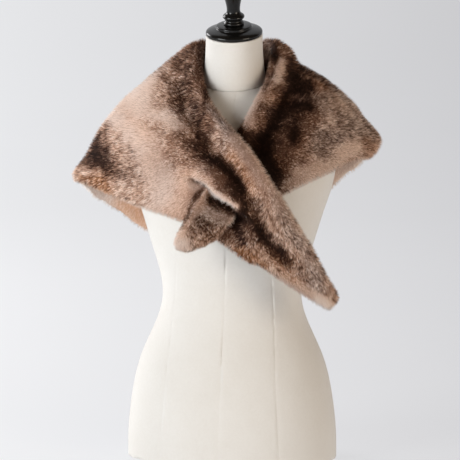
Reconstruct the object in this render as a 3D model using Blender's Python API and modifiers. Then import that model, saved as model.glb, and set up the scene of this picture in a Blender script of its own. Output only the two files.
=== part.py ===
"""Fur collar wrap on a dress form.

A doubled fur wrap lies round the neck of a limbless dress form. Its left end is pulled through a slit in
its right front. Metres, +Z up, the form faces -Y. The origin is the centre of the form's flat base.
"""

import math
from collections import namedtuple

import bpy
import numpy as np
from mathutils import Matrix, Vector
from mathutils.bvhtree import BVHTree

# ---------------------------------------------------------------- driving sizes
SEAM = 0.0003            # gap between pieces that touch
SHARP_ANGLE = math.radians(50)
CLEAR = 0.0010           # air kept between the fur and what it lies on

EDGE_SHARE = 0.22        # half thickness left at a cut edge, as a share of the full half thickness
EDGE_STEPS = (0.0, 0.004, 0.012)   # places of the rows that round an edge
EDGE_WIDEST = 0.16       # the most of the width that those rows take
CORNER = 0.009           # radius of the corners of the two narrow ends
ROLL_RISE = 0.0050       # how far the rolled neck edge stands proud
ROLL_STEPS = (0.45, 0.75, 1.0, 1.3)   # columns on the roll and its crease, as shares of the roll's width
TROUGH_DROP = 0.0050     # depth of the crease beside the roll
TROUGH_REACH = 0.013     # and how far it spreads
TROUGH_BEND = 0.0090     # how far the whole fur bends in under the crease
BEND_REACH = 0.026       # and how far that spreads
WRAP_STEP = 0.0150       # length of a mesh step along the wrap
SLIT_STEP = 0.0105       # and of one along the two pieces that meet at the slit
ABOVE_SLIT = 3           # mesh steps across the wrap, from the roll to the slit's line
BELOW_SLIT = 4           # and from the slit's line to the hem

SLIT_GAP = 0.0080        # width of the slit at its middle, before its lips are bent apart
SLIT_END_GAP = 0.0012    # and at its ends
SLIT_SHUT = 0.001        # share of its full opening below which it counts as shut
SLIT_SECTIONS = (5.12, 7.92)   # the slit runs between these sections, counted from the right end's tip
SLIT_LIFT = 0.0145       # how far the slit's upper lip stands out
SLIT_SINK = 0.0275       # how far its lower lip lies in
OPENING_POWER = 0.65     # how fast the slit opens from its two ends
LIP_SHARE = 0.50         # half thickness of the lips, as a share of the fur's
LIP_REACH = 0.034        # how far from the slit the fur still bends
LIP_THIN = 0.010         # and how far from it the fur is still thinner
SETTLE_ROUNDS = 5        # how often points are moved clear and evened out
EVENING = 0.25           # share of the way to its neighbours' middle that a point moves each time
NEAR = 0.050             # how close to the form a point of the fur may need to be moved

TORSO_SEGMENTS = 48
TORSO_LEVELS = 20        # rings from the base to the shoulder, above which each row of the table has one
SHOULDER_Z = 0.53
NECK_TOP = Vector((0.003, 0.006, 0.7125))
NECK_RADIUS = 0.0475
NECK_LEAN = math.radians(15)
NECK_LEVELS = (0.0, 0.15, 0.4, 0.65, 0.85, 1.0)
NECK_WAIST = 0.035       # how much slimmer the neck is half way up
TURNED_STEPS = 32
CROWN = 0.0006           # rise of a turned top to its centre

# ---------------------------------------------------------------- tables
# A horizontal ring of the torso: its height, half its width, how far it reaches to the front and back of
# its own centre, where that centre lies front to back, and how far the ring rises per metre to the back.
Ring = namedtuple("Ring", "z half_width front back centre_y rise")
TORSO = (
    Ring(0.000, 0.1775, 0.116, 0.112, 0.000, 0.00),
    Ring(0.040, 0.1775, 0.117, 0.114, 0.000, 0.00),
    Ring(0.080, 0.1740, 0.116, 0.115, 0.000, 0.00),
    Ring(0.120, 0.1680, 0.112, 0.114, 0.000, 0.00),
    Ring(0.162, 0.1585, 0.106, 0.110, 0.000, 0.00),
    Ring(0.205, 0.1405, 0.097, 0.100, 0.000, 0.00),
    Ring(0.245, 0.1220, 0.089, 0.088, 0.000, 0.00),
    Ring(0.280, 0.1160, 0.087, 0.084, 0.000, 0.00),
    Ring(0.316, 0.1220, 0.091, 0.087, 0.002, 0.00),
    Ring(0.358, 0.1360, 0.102, 0.094, 0.005, 0.00),
    Ring(0.412, 0.1520, 0.121, 0.101, 0.009, 0.00),
    Ring(0.462, 0.1690, 0.128, 0.104, 0.014, 0.00),
    Ring(0.500, 0.1750, 0.120, 0.103, 0.018, 0.00),
    Ring(0.535, 0.1730, 0.106, 0.096, 0.022, 0.00),
    Ring(0.560, 0.1660, 0.092, 0.086, 0.025, 0.00),
    Ring(0.580, 0.1470, 0.080, 0.075, 0.027, 0.03),
    Ring(0.597, 0.1150, 0.068, 0.066, 0.029, 0.08),
    Ring(0.612, 0.0830, 0.059, 0.059, 0.030, 0.16),
    Ring(0.624, 0.0630, 0.054, 0.055, 0.030, 0.25),
    Ring(0.634, 0.0535, 0.051, 0.052, 0.030, 0.32),
)

# A section across the wrap: points on its neck edge, its middle and its hem, the width of the rolled neck
# edge, the share of the full crease beside it, half the fur's thickness with its pile, and the place of the
# slit's line as a share of the width.
Section = namedtuple("Section", "neck middle hem roll crease half slit", defaults=(0.0098, 0.66))
RIGHT_END = (
    Section((0.196, -0.126, 0.293), (0.187, -0.128, 0.279), (0.175, -0.126, 0.265), 0.030, 0.0, 0.0080),
    Section((0.178, -0.138, 0.323), (0.165, -0.141, 0.300), (0.152, -0.134, 0.283), 0.040, 0.0, 0.0088),
    Section((0.156, -0.146, 0.369), (0.140, -0.148, 0.332), (0.122, -0.139, 0.301), 0.050, 0.2, 0.0095),
    Section((0.131, -0.152, 0.411), (0.111, -0.155, 0.362), (0.090, -0.146, 0.323), 0.060, 0.6),
    Section((0.108, -0.156, 0.452), (0.082, -0.161, 0.395), (0.058, -0.151, 0.348), 0.066, 0.9),
)
RIGHT_FRONT = (
    Section((0.082, -0.155, 0.492), (0.056, -0.163, 0.424), (0.032, -0.151, 0.367), 0.062, 1.0, slit=0.62),
    Section((0.052, -0.140, 0.534), (0.026, -0.160, 0.452), (0.003, -0.146, 0.384), 0.058, 1.0, slit=0.605),
    Section((0.023, -0.117, 0.562), (-0.004, -0.150, 0.477), (-0.027, -0.140, 0.393), 0.055, 1.0, slit=0.61),
    Section((0.000, -0.086, 0.581), (-0.040, -0.132, 0.500), (-0.073, -0.128, 0.412), 0.052, 1.0, slit=0.65),
    Section((-0.025, -0.052, 0.606), (-0.084, -0.100, 0.527), (-0.130, -0.102, 0.426), 0.050, 1.0),
    Section((-0.041, -0.022, 0.632), (-0.121, -0.062, 0.553), (-0.183, -0.062, 0.439), 0.050, 0.9),
    Section((-0.049, 0.000, 0.657), (-0.150, -0.022, 0.577), (-0.222, -0.026, 0.449), 0.050, 0.7),
    Section((-0.052, 0.020, 0.681), (-0.168, 0.010, 0.592), (-0.253, 0.004, 0.458), 0.048, 0.5),
)
BACK = (
    Section((-0.053, 0.042, 0.694), (-0.174, 0.040, 0.598), (-0.268, 0.038, 0.463), 0.046, 0.4),
    Section((-0.048, 0.062, 0.697), (-0.164, 0.083, 0.588), (-0.264, 0.080, 0.438), 0.046, 0.4),
    Section((-0.034, 0.080, 0.697), (-0.130, 0.122, 0.556), (-0.230, 0.127, 0.394), 0.046, 0.5),
    Section((-0.015, 0.090, 0.696), (-0.074, 0.143, 0.526), (-0.142, 0.160, 0.352), 0.046, 0.5),
    Section((0.006, 0.093, 0.696), (0.002, 0.148, 0.514), (-0.010, 0.170, 0.338), 0.046, 0.5),
    Section((0.026, 0.092, 0.696), (0.072, 0.143, 0.536), (0.100, 0.158, 0.386), 0.046, 0.5),
    Section((0.043, 0.082, 0.698), (0.124, 0.120, 0.574), (0.172, 0.128, 0.454), 0.046, 0.6),
    Section((0.056, 0.064, 0.698), (0.158, 0.084, 0.606), (0.224, 0.086, 0.510), 0.048, 0.9),
    Section((0.061, 0.042, 0.692), (0.170, 0.042, 0.614), (0.245, 0.036, 0.533), 0.048, 1.0),
)
LEFT_FRONT = (
    Section((0.061, 0.016, 0.664), (0.162, 0.006, 0.604), (0.234, -0.004, 0.517), 0.047, 1.0),
    Section((0.056, -0.012, 0.638), (0.142, -0.026, 0.587), (0.205, -0.036, 0.505), 0.046, 1.0),
    Section((0.045, -0.046, 0.614), (0.116, -0.058, 0.560), (0.175, -0.066, 0.490), 0.046, 1.0),
    Section((0.030, -0.072, 0.584), (0.090, -0.084, 0.534), (0.144, -0.090, 0.476), 0.046, 1.0, 0.0094),
    Section((0.014, -0.088, 0.556), (0.062, -0.100, 0.506), (0.106, -0.106, 0.458), 0.040, 0.6, 0.0084),
    Section((-0.006, -0.101, 0.524), (0.034, -0.1165, 0.478), (0.070, -0.115, 0.442), 0.034, 0.0, 0.0078),
    Section((-0.022, -0.118, 0.495), (0.013, -0.128, 0.464), (0.040, -0.127, 0.442), 0.030, 0.0, 0.0066),
)
LEFT_END = (
    Section((-0.028, -0.150, 0.466), (-0.001, -0.152, 0.451), (0.022, -0.153, 0.439), 0.030, 0.0, 0.0056),
    Section((-0.043, -0.161, 0.448), (-0.012, -0.165, 0.428), (0.020, -0.165, 0.414), 0.030, 0.0, 0.0078),
    Section((-0.058, -0.171, 0.421), (-0.030, -0.174, 0.408), (0.001, -0.171, 0.397), 0.026, 0.0, 0.0088),
    Section((-0.068, -0.172, 0.397), (-0.046, -0.175, 0.389), (-0.022, -0.172, 0.383), 0.022, 0.0, 0.0085),
    Section((-0.075, -0.167, 0.373), (-0.062, -0.169, 0.368), (-0.048, -0.167, 0.365), 0.018, 0.0, 0.0075),
)
MIDDLE_SHARE = 0.52      # where a section's middle point lies between its neck edge and its hem

# A soft fold that runs from the hem up: the section where it lies, how far it spreads along the wrap, how
# high it stands at the hem (less than nothing for a hollow), and the share of the width where it starts.
Fold = namedtuple("Fold", "section reach height start")
FOLDS = (
    Fold(10.8, 0.030, -0.004, 0.45),
    Fold(14.6, 0.032, 0.007, 0.30),
    Fold(15.9, 0.030, -0.007, 0.25),
    Fold(17.2, 0.032, 0.008, 0.25),
    Fold(18.6, 0.028, -0.006, 0.30),
    Fold(20.0, 0.026, 0.005, 0.40),
    Fold(23.6, 0.022, -0.004, 0.35),
)

# The turned cap and knob, as heights above the neck's top face and radii there.
Turn = namedtuple("Turn", "height radius")
CAP = (
    Turn(0.0010, 0.0468), Turn(0.0030, 0.0482), Turn(0.0062, 0.0482), Turn(0.0084, 0.0468),
    Turn(0.0106, 0.0400), Turn(0.0122, 0.0318), Turn(0.0136, 0.0303), Turn(0.0160, 0.0303),
    Turn(0.0172, 0.0290), Turn(0.0184, 0.0215),
)
KNOB = (
    Turn(0.0000, 0.0172), Turn(0.0030, 0.0176), Turn(0.0052, 0.0148), Turn(0.0080, 0.0146),
    Turn(0.0100, 0.0176), Turn(0.0130, 0.0188), Turn(0.0160, 0.0172), Turn(0.0186, 0.0126),
    Turn(0.0240, 0.0110), Turn(0.0320, 0.0117), Turn(0.0420, 0.0140), Turn(0.0520, 0.0172),
    Turn(0.0610, 0.0190), Turn(0.0690, 0.0178), Turn(0.0745, 0.0138), Turn(0.0772, 0.0076),
)
CAP_FOOT = -0.0007       # height of the cap's foot above the neck's top face, less its first turn
KNOB_FOOT = 0.0187       # height of the knob's foot there

# Base colour, roughness.
LINEN = ((0.86, 0.84, 0.79), 0.85)
BLACK_WOOD = ((0.010, 0.009, 0.009), 0.22)
FUR = ((0.36, 0.25, 0.17), 0.80)


# ---------------------------------------------------------------- helpers
def cleared_collection(name):
    """An empty scene, and the collection that the parts go in."""
    for obj in list(bpy.data.objects):
        bpy.data.objects.remove(obj, do_unlink=True)
    made = bpy.data.collections.new(name)
    bpy.context.scene.collection.children.link(made)
    return made


def finish(name, colour, roughness):
    """A plain material of one colour."""
    made = bpy.data.materials.new(name)
    made.use_nodes = True
    shader = made.node_tree.nodes["Principled BSDF"]
    shader.inputs["Base Color"].default_value = (*colour, 1.0)
    shader.inputs["Roughness"].default_value = roughness
    return made


def add_object(name, mesh, collection, material):
    mesh.materials.append(material)
    mesh.shade_smooth()
    mesh.set_sharp_from_angle(angle=SHARP_ANGLE)
    made = bpy.data.objects.new(name, mesh)
    collection.objects.link(made)
    return made


def mesh_from(name, points, faces):
    mesh = bpy.data.meshes.new(name)
    mesh.from_pydata([tuple(p) for p in points], [], faces)
    mesh.validate()
    return mesh


def along(rows, knots, places):
    """Reads smooth curves through the rows (one row of numbers for each knot) at the given places."""
    rows = np.asarray(rows, float)
    knots = np.asarray(knots, float)
    slopes = np.empty_like(rows)
    spans = np.diff(knots)[:, None]
    chords = np.diff(rows, axis=0) / spans
    slopes[0] = chords[0]
    slopes[-1] = chords[-1]
    slopes[1:-1] = (chords[:-1] * spans[1:] + chords[1:] * spans[:-1]) / (spans[1:] + spans[:-1])
    at = np.clip(np.searchsorted(knots, places, side="right") - 1, 0, len(knots) - 2)
    width = (knots[at + 1] - knots[at])[:, None]
    t = ((places - knots[at])[:, None]) / width
    return (
        rows[at] * (2 * t**3 - 3 * t**2 + 1)
        + slopes[at] * width * (t**3 - 2 * t**2 + t)
        + rows[at + 1] * (3 * t**2 - 2 * t**3)
        + slopes[at + 1] * width * (t**3 - t**2)
    )


def ring_loft(rings):
    """Points and faces of a closed body through rings of equal length, with a flat cap on each end."""
    count = len(rings[0])
    points = [p for ring in rings for p in ring]
    faces = []
    for level in range(len(rings) - 1):
        for k in range(count):
            a = level * count + k
            b = level * count + (k + 1) % count
            faces.append((a, b, b + count, a + count))
    faces.append(tuple(reversed(range(count))))
    faces.append(tuple(range(len(points) - count, len(points))))
    return points, faces


# ---------------------------------------------------------------- the dress form
def torso_ring(row):
    z, half_width, front, back, centre_y, rise = row
    ring = []
    for k in range(TORSO_SEGMENTS):
        turn = 2 * math.pi * k / TORSO_SEGMENTS
        across = half_width * math.cos(turn)
        depth = (back if math.sin(turn) > 0 else front) * math.sin(turn)
        ring.append((across, centre_y + depth, z + rise * depth))
    return ring


def torso(collection, material):
    knots = [row.z for row in TORSO]
    shoulder = next(k for k, z in enumerate(knots) if z > SHOULDER_Z)
    heights = np.concatenate([np.linspace(knots[0], knots[shoulder], TORSO_LEVELS), knots[shoulder + 1 :]])
    rings = [torso_ring(row) for row in along(TORSO, knots, heights)]
    points, faces = ring_loft(rings)
    return add_object("form_torso", mesh_from("form_torso", points, faces), collection, material)


def neck(collection, material):
    """From the neck seam, which slopes to the front, up to the neck's leaning top face."""
    foot = torso_ring(TORSO[-1])
    top = []
    for k in range(TORSO_SEGMENTS):
        turn = 2 * math.pi * k / TORSO_SEGMENTS
        spoke = Vector((math.cos(turn), math.sin(turn), 0)) * NECK_RADIUS
        top.append(NECK_TOP + Matrix.Rotation(NECK_LEAN, 3, "X") @ spoke)
    rings = []
    for share in NECK_LEVELS:
        waist = 1 - NECK_WAIST * math.sin(math.pi * share)
        centre = Vector((0.0, TORSO[-1].centre_y, TORSO[-1].z)).lerp(NECK_TOP, share)
        ring = []
        for low, high in zip(foot, top):
            point = Vector(low).lerp(high, share)
            ring.append(centre + (point - centre) * waist)
        rings.append(ring)
    rings[0] = [p + Vector((0, 0, SEAM)) for p in rings[0]]
    points, faces = ring_loft(rings)
    return add_object("form_neck", mesh_from("form_neck", points, faces), collection, material)


def turned(name, rows, foot, collection, material):
    """A solid turned from a profile, standing on the neck's leaning axis, foot metres up it."""
    knots = np.arange(len(rows), dtype=float)
    profile = along([tuple(row) for row in rows], knots, np.linspace(0, knots[-1], 2 * len(rows) - 1))
    outline = [(0.0, profile[-1][0] + CROWN)] + [(r, h) for h, r in profile[::-1]]
    outline.append((0.0, profile[0][0]))
    mesh = bpy.data.meshes.new(name)
    points = [(radius, 0.0, height) for radius, height in outline]
    mesh.from_pydata(points, [(k, k + 1) for k in range(len(points) - 1)], [])
    made = add_object(name, mesh, collection, material)
    screw = made.modifiers.new("turn", "SCREW")
    screw.steps = TURNED_STEPS
    screw.render_steps = TURNED_STEPS
    screw.use_merge_vertices = True
    screw.merge_threshold = 0.00001
    lean = Matrix.Rotation(NECK_LEAN, 4, "X")
    made.matrix_world = Matrix.Translation(NECK_TOP) @ lean @ Matrix.Translation((0, 0, foot))
    return made


# ---------------------------------------------------------------- the wrap
def smooth_step(x):
    """From 0 to 1 along a soft S."""
    x = np.clip(x, 0, 1)
    return x * x * (3 - 2 * x)


# Each piece of the wrap, in order from the right end's tip, and the length of its mesh steps.
STRETCHES = (
    ("fur_right_end", RIGHT_END, WRAP_STEP),
    ("fur_right_front", RIGHT_FRONT, SLIT_STEP),
    ("fur_back", BACK, WRAP_STEP),
    ("fur_left_front", LEFT_FRONT, WRAP_STEP),
    ("fur_left_end", LEFT_END, SLIT_STEP),
)


def section_rows():
    """Every section as a row of numbers, how far along the wrap it lies, and where each stretch stops."""
    sections = [section for _, stretch, _ in STRETCHES for section in stretch]
    rows = [(*s.neck, *s.middle, *s.hem, s.roll, s.crease, s.half, s.slit) for s in sections]
    middles = np.array([s.middle for s in sections])
    knots = np.concatenate([[0.0], np.cumsum(np.linalg.norm(np.diff(middles, axis=0), axis=1))])
    lasts = np.cumsum([len(stretch) for _, stretch, _ in STRETCHES])[:-1]
    cuts = [knots[0], *((knots[k - 1] + knots[k]) / 2 for k in lasts), knots[-1]]
    return np.array(rows), knots, cuts


def places_between(start, stop, step, round_start, round_stop):
    """Places along the wrap, a step apart from start to stop, closer together at an end that is rounded."""
    first = [start + inset for inset in EDGE_STEPS] if round_start else [start]
    last = [stop - inset for inset in reversed(EDGE_STEPS)] if round_stop else [stop]
    count = max(2, round((last[0] - first[-1]) / step))
    between = np.linspace(first[-1], last[0], count + 1)[1:-1]
    return np.concatenate([first, between, last])


def slit_opening(places, knots):
    """How far the slit stands open at each place, from 0 beyond its ends to 1 at its middle."""
    start, stop = np.interp(SLIT_SECTIONS, np.arange(len(knots)), knots)
    return np.sin(math.pi * np.clip((places - start) / (stop - start), 0, 1)) ** OPENING_POWER


def column_distances(width, roll, slit, gap):
    """How far each column of the mesh lies from the neck edge, at one place along the wrap."""
    edge = np.array(EDGE_STEPS) * min(1.0, EDGE_WIDEST * width / EDGE_STEPS[-1])
    roll = min(roll, width / 2 / ROLL_STEPS[-1])
    rolled = roll * np.array(ROLL_STEPS)
    above = np.linspace(rolled[-1], slit * width - gap / 2, ABOVE_SLIT + 1)[1:]
    below = np.linspace(slit * width + gap / 2, width - edge[-1], BELOW_SLIT + 1)[:-1]
    return np.concatenate([edge, rolled, above, below, width - edge[::-1]])


SLIT_COLUMN = len(EDGE_STEPS) + len(ROLL_STEPS) + ABOVE_SLIT - 1


def corner_inset(distance):
    """How far a narrow end's sides lie in, this far from its tip."""
    inside = 1 - min(distance / CORNER, 1)
    return CORNER * (1 - math.sqrt(1 - inside**2))


def edge_round(distance, half):
    """Share of the half thickness this far in from a rounded edge."""
    inside = 1 - np.clip(distance / half, 0, 1)
    return EDGE_SHARE + (1 - EDGE_SHARE) * np.sqrt(1 - inside**2)


def section_points(row, distances, width):
    """Points of the section's curve through its neck edge, middle and hem."""
    v = (distances / width)[:, None]
    m = MIDDLE_SHARE
    neck_part = (v - m) * (v - 1) / m
    middle_part = v * (v - 1) / (m * (m - 1))
    hem_part = v * (v - m) / (1 - m)
    return row[0:3] * neck_part + row[3:6] * middle_part + row[6:9] * hem_part


def ways_out(points):
    """The way out of the wrap at each grid point, read apart above and below the slit's line."""
    halves = np.split(points, [SLIT_COLUMN + 1], axis=1)
    out = np.concatenate([np.cross(np.gradient(h, axis=0), np.gradient(h, axis=1)) for h in halves], axis=1)
    return out / np.linalg.norm(out, axis=2, keepdims=True)


def settle(points, needed, surface, rounds):
    """Moves points out until each is clear, by what it needs, of the form that the fur lies on."""
    for turn in range(rounds):
        flat = points.reshape(-1, 3)
        for k, need in enumerate(needed.reshape(-1)):
            point = Vector(flat[k])
            place, normal, _, distance = surface.find_nearest(point, NEAR)
            if place is None:
                continue
            depth = math.copysign(distance, (point - place).dot(normal))
            if depth < need:
                flat[k] = point + normal * (need - depth)
        if turn < rounds - 1:
            around = (points[:-2, 1:-1] + points[2:, 1:-1] + points[1:-1, :-2] + points[1:-1, 2:]) / 4
            points[1:-1, 1:-1] += EVENING * (around - points[1:-1, 1:-1])
    return points


def wall(name, points, out, outer, inner, left_out):
    """A closed wall over the grid, without the faces in left_out."""
    rows, columns = points.shape[:2]
    tops = (points + out * outer[..., None]).reshape(-1, 3)
    unders = (points - out * inner[..., None]).reshape(-1, 3)
    count = rows * columns
    faces = []
    rims = {}
    for i in range(rows - 1):
        for j in range(columns - 1):
            if (i, j) in left_out:
                continue
            a, b = i * columns + j, i * columns + j + 1
            c, d = b + columns, a + columns
            faces.append((a, d, c, b))
            faces.append((a + count, b + count, c + count, d + count))
            for edge in ((a, d), (d, c), (c, b), (b, a)):
                if rims.pop(edge[::-1], None) is None:
                    rims[edge] = True
    for start, end in rims:
        # Both pieces at a seam split their facing rims along the same lines.
        if start < end:
            faces.extend([(end, start, end + count), (start, start + count, end + count)])
        else:
            faces.extend([(end, start, start + count), (end, start + count, end + count)])
    return mesh_from(name, np.concatenate([tops, unders]), faces)


def slit_bend(places, knots, read, from_neck, from_hem):
    """How far the slit's lips bend out, how much thinner they are, and the faces the slit leaves out."""
    opening = slit_opening(places, knots)[:, None]
    line = read[:, 12, None] * (from_neck + from_hem)
    beyond = np.clip(np.abs(from_neck - line) - SLIT_GAP / 2, 0, None)
    above = np.arange(from_neck.shape[1])[None, :] <= SLIT_COLUMN
    bend = opening * np.exp(-((beyond / LIP_REACH) ** 2)) * np.where(above, SLIT_LIFT, -SLIT_SINK)
    thin = 1 - opening * (1 - LIP_SHARE) * np.exp(-((beyond / LIP_THIN) ** 2))
    cells = np.flatnonzero(opening[:-1, 0] + opening[1:, 0] > SLIT_SHUT)
    return bend, thin, {(int(i), SLIT_COLUMN) for i in cells}


def wrap_grid(surface):
    """The whole wrap as one grid: points in the middle of the fur, ways out, and both half thicknesses."""
    rows, knots, cuts = section_rows()
    places = [knots[0]]
    seams = [0]
    for k, (start, stop) in enumerate(zip(cuts, cuts[1:])):
        places.extend(places_between(start, stop, STRETCHES[k][2], k == 0, k == len(cuts) - 2)[1:])
        seams.append(len(places) - 1)
    places = np.array(places)
    read = along(rows, knots, places)
    gaps = SLIT_END_GAP + (SLIT_GAP - SLIT_END_GAP) * slit_opening(places, knots)
    points, from_neck, from_hem = [], [], []
    for place, row, gap in zip(places, read, gaps):
        width = np.linalg.norm(row[3:6] - row[0:3]) + np.linalg.norm(row[6:9] - row[3:6])
        distances = column_distances(width, row[9], row[12], gap)
        inset = corner_inset(min(place - knots[0], knots[-1] - place))
        distances = distances * (width - 2 * inset) / width
        points.append(section_points(row, inset + distances, width))
        from_neck.append(distances)
        from_hem.append(width - 2 * inset - distances)
    points, from_neck, from_hem = map(np.array, (points, from_neck, from_hem))

    roll, crease, full = (read[:, k, None] for k in (9, 10, 11))
    from_tip = np.minimum(places - knots[0], knots[-1] - places)[:, None]
    half = full * np.minimum(edge_round(from_neck, full), edge_round(from_hem, full))
    half *= edge_round(from_tip, full)
    bend = -TROUGH_BEND * crease * np.exp(-(((from_neck - roll) / BEND_REACH) ** 2))
    share = from_neck / (from_neck + from_hem)
    for fold in FOLDS:
        beside = (places - np.interp(fold.section, np.arange(len(knots)), knots))[:, None] / fold.reach
        grown = smooth_step((share - fold.start) / (1 - fold.start))
        bend += fold.height * grown * np.exp(-(beside**2))
    points += ways_out(points) * bend[..., None]
    points = settle(points, half + CLEAR, surface, SETTLE_ROUNDS)
    bend, thin, left_out = slit_bend(places, knots, read, from_neck, from_hem)
    half *= thin
    points += ways_out(points) * bend[..., None]
    points = settle(points, half + CLEAR, surface, 1)

    rolled = np.sin(math.pi * np.clip(from_neck / roll, 0, 1))
    trough = np.exp(-(((from_neck - roll) / TROUGH_REACH) ** 2))
    relief = crease * (ROLL_RISE * rolled - TROUGH_DROP * trough) * half / full
    return points, ways_out(points), half + relief, half, seams, left_out


def wrap(surface, collection, material):
    points, out, outer, inner, seams, left_out = wrap_grid(surface)
    ahead = np.gradient(points, axis=0)
    ahead /= np.linalg.norm(ahead, axis=2, keepdims=True)
    for (name, _, _), first, last in zip(STRETCHES, seams, seams[1:]):
        rows = slice(first, last + 1)
        own = points[rows].copy()
        if first > seams[0]:
            own[0] += ahead[first] * SEAM / 2
        if last < seams[-1]:
            own[-1] -= ahead[last] * SEAM / 2
        holes = {(i - first, j) for i, j in left_out}
        mesh = wall(name, own, out[rows], outer[rows], inner[rows], holes)
        add_object(name, mesh, collection, material)


def form_surface(*objects):
    """A search tree of the sides of the form, without the flat faces that close its pieces."""
    points, faces = [], []
    for obj in objects:
        for polygon in obj.data.polygons:
            if len(polygon.vertices) == 4:
                faces.append([k + len(points) for k in polygon.vertices])
        points.extend(vertex.co.copy() for vertex in obj.data.vertices)
    return BVHTree.FromPolygons(points, faces)


def main():
    parts = cleared_collection("fur collar wrap on dress form")
    linen = finish("linen", *LINEN)
    black = finish("black wood", *BLACK_WOOD)
    fur = finish("fur", *FUR)
    body = torso(parts, linen)
    throat = neck(parts, linen)
    turned("neck_cap", CAP, CAP_FOOT, parts, black)
    turned("neck_finial", KNOB, KNOB_FOOT, parts, black)
    wrap(form_surface(body, throat), parts, fur)


main()
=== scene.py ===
# %% [markdown]
# # A fur collar wrap on its dress form
# The wrap is one length of fur with pile on both faces. It lies round the neck of a linen dress form, and
# its left end is pulled through a slit in its right front. This lesson starts from the plain solids of the
# form and the wrap, and gives them their cloth, wood and hair.
#
# The solids come in as fixed parts. They are never moved, so every new piece can be measured against them.

# %% Load the solids
import math
from collections import namedtuple

import bpy
import numpy as np
from mathutils import Matrix, Vector
from mathutils.bvhtree import BVHTree
from mathutils.kdtree import KDTree


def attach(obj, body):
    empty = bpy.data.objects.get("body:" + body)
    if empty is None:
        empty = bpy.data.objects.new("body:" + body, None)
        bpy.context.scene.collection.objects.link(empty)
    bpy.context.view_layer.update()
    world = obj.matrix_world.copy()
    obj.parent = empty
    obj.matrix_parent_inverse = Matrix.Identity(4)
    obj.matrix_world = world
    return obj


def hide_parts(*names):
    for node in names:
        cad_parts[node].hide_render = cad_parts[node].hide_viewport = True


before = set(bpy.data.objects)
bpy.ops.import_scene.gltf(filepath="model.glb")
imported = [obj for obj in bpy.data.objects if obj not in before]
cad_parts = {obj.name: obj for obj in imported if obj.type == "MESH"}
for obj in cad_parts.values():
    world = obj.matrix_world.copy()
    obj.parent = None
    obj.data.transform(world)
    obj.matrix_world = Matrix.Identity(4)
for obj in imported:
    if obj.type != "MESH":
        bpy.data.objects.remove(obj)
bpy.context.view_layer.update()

bpy.ops.object.select_all(action="DESELECT")
print("solids:", ", ".join(sorted(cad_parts)))

# %% [markdown]
# ## The camera
# A long lens flattens a garment, which shows its cut fairly, so the camera stands five metres off.
# It stands a little to the form's left and a little above it. Aiming is easiest with a vector from the
# camera to the place it looks at, which `to_track_quat` turns into a rotation.

# %% Camera
AIM = Vector((0.0, 0.0, 0.384))
CAMERA_DISTANCE = 5.0
CAMERA_TURN = math.radians(7)      # to the form's left
CAMERA_RISE = math.radians(7)      # above level
SEEN_WIDTH = 0.773                 # metres across the frame at the form
SENSOR = 36.0                      # millimetres
DOTS = 460                         # the camera's frame is this many dots wide and high
SHIFT = -2 / DOTS                  # the form stands two dots right of the middle

towards = Vector((math.sin(CAMERA_TURN) * math.cos(CAMERA_RISE),
                  -math.cos(CAMERA_TURN) * math.cos(CAMERA_RISE),
                  math.sin(CAMERA_RISE)))
bpy.ops.object.camera_add(location=AIM + towards * CAMERA_DISTANCE)
camera = bpy.context.object
camera.name = "studio_camera"
camera.rotation_euler = (-towards).to_track_quat("-Z", "Y").to_euler()
camera.data.sensor_width = SENSOR
camera.data.lens = SENSOR * CAMERA_DISTANCE / SEEN_WIDTH
camera.data.shift_x = SHIFT
bpy.context.scene.camera = camera
print(f"lens {camera.data.lens:.0f} mm at {CAMERA_DISTANCE} m")

# %% [markdown]
# ## Soft studio light
# Fur and linen need soft light: a small lamp would make every hair throw its own hard shadow. Nearly all the
# light comes in low, so the hollow between the two collar edges falls into shade while the neck above it
# stays bright. One wide panel to the left and in front is the key. A second stands behind on the same side
# and catches the outline, and a weak warm one on the right keeps the shaded side readable. Hardly anything
# comes from above: the world is nearly dark.

# %% Lamps
Lamp = namedtuple("Lamp", "name place size watts colour")
LAMPS = (
    Lamp("key_panel", (-2.40, -2.40, 0.90), 1.7, 103.0, (0.96, 0.985, 1.0)),
    Lamp("rim_panel", (-2.55, 1.47, 1.90), 1.6, 60.0, (1.0, 0.985, 1.0)),
    Lamp("fill_panel", (2.75, -2.00, 0.90), 1.6, 50.0, (1.0, 0.86, 0.70)),
)
LIT_PLACE = Vector((0.0, 0.0, 0.42))
WORLD_COLOUR = (1.0, 0.74, 0.52, 1.0)
WORLD_STRENGTH = 0.12

for lamp in LAMPS:
    bpy.ops.object.light_add(type="AREA", location=lamp.place)
    light = bpy.context.object
    light.name = lamp.name
    light.data.size = lamp.size
    light.data.energy = lamp.watts
    light.data.color = lamp.colour
    light.visible_camera = False       # seen from behind the form, a panel would fill the frame
    light.rotation_euler = (LIT_PLACE - Vector(lamp.place)).to_track_quat("-Z", "Y").to_euler()

world = bpy.data.worlds.new("dim_room")
world.use_nodes = True
world.node_tree.nodes["Background"].inputs["Color"].default_value = WORLD_COLOUR
world.node_tree.nodes["Background"].inputs["Strength"].default_value = WORLD_STRENGTH
bpy.context.scene.world = world
bpy.context.scene.view_settings.view_transform = "Standard"
print("lamps:", ", ".join(f"{lamp.name} {lamp.watts:.0f} W" for lamp in LAMPS))

# %% [markdown]
# ## The sweep behind the form
# A studio sweep is one sheet that runs from the floor up the wall in a curve, so no line shows behind the
# garment. It could be a plane with a bent edge. Here a floor plane's far edge is extruded up and
# the fold between the two is bevelled round.

# %% Studio sweep
SWEEP_HALF = 18.0
SWEEP_BACK = 10.0                  # the wall stands so far back that the form can be looked at from behind
SWEEP_TOP = 18.0
SWEEP_BEND = 4.5                   # radius of the curve
SWEEP_GAP = 0.0004                 # the sheet lies just under the form
NEAR = 0.01                        # metres, to find an edge again by its place


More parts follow.
